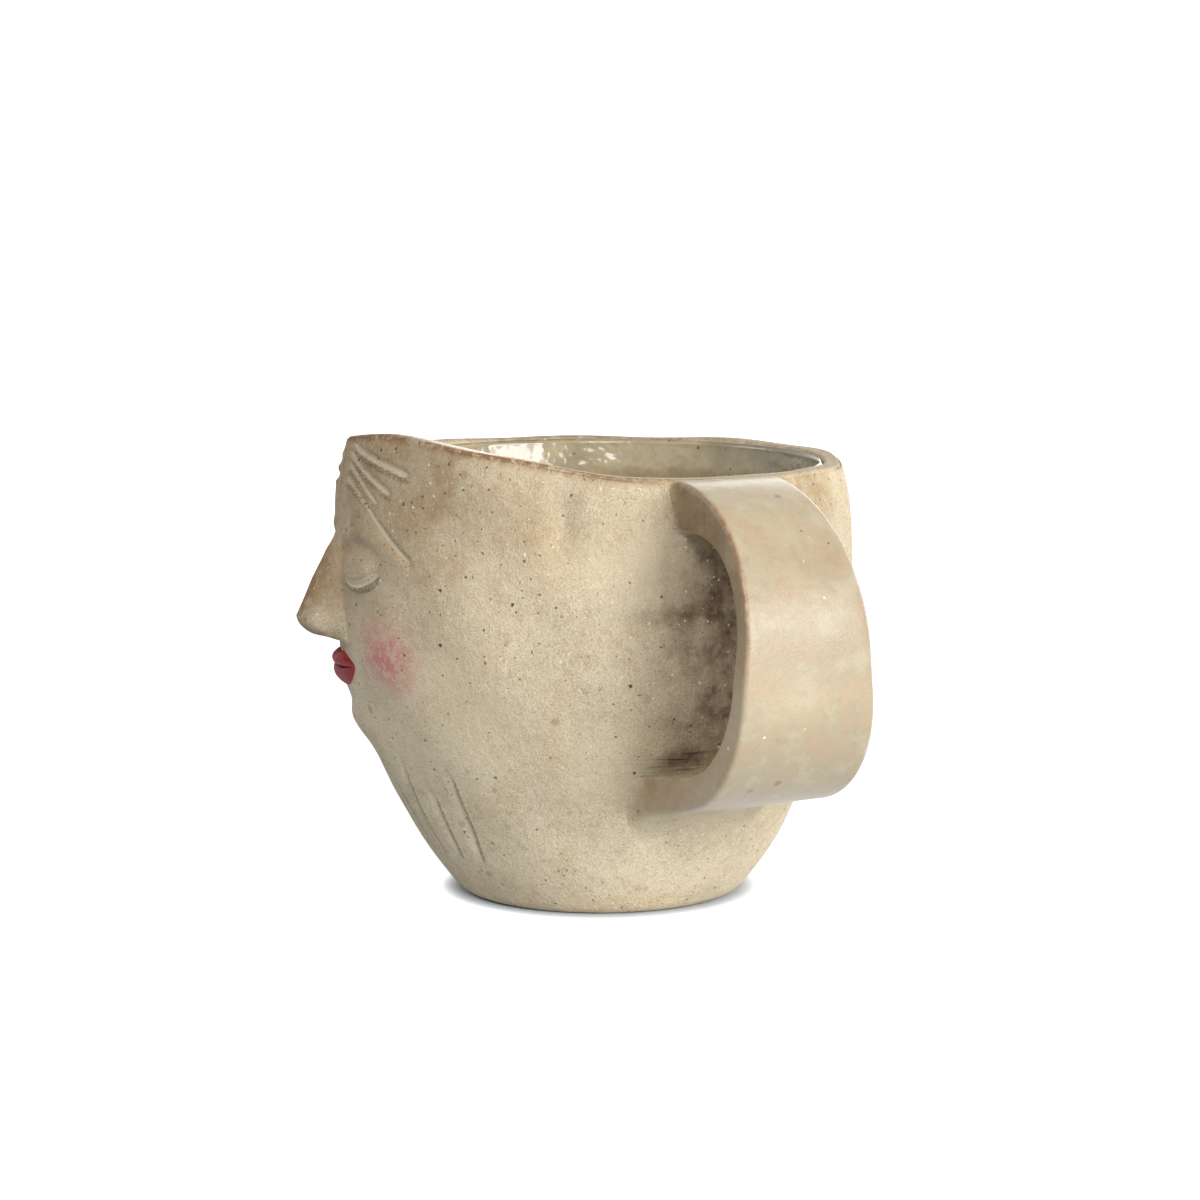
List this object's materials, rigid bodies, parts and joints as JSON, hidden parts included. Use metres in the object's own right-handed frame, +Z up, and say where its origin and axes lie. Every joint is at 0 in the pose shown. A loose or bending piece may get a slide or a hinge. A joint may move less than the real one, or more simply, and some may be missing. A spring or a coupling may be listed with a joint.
{
  "type": "mug",
  "caption": "Hand-built stoneware mug with a calm face in low relief on its wall, a glazed inside and a wide strap handle; holds a hot drink and stands on a flat foot.",
  "frame": {"origin": "middle of the foot's flat underside, on the table", "axes": "+Z up along the mug's axis, +X towards the handle; the face looks 108 degrees clockwise from the handle, seen from above"},
  "size_m": [0.1176, 0.0998, 0.0852],
  "materials": {
    "speckled_stoneware": "unglazed, matte, sandy with fine dark and pale specks",
    "smooth_stoneware": "unglazed, smoothed to a satin with a damp sponge",
    "clear_glaze": "glossy clear glaze over the clay",
    "red_glaze": "brushed-on red glaze, satin"
  },
  "bodies": {
    "root": {"floor_slab": "speckled_stoneware", "wall": "speckled_stoneware", "glaze_liner": "clear_glaze", "handle_strap": "smooth_stoneware", "nose": "speckled_stoneware", "upper_lip": "red_glaze", "lower_lip": "red_glaze"}
  },
  "joints": []
}
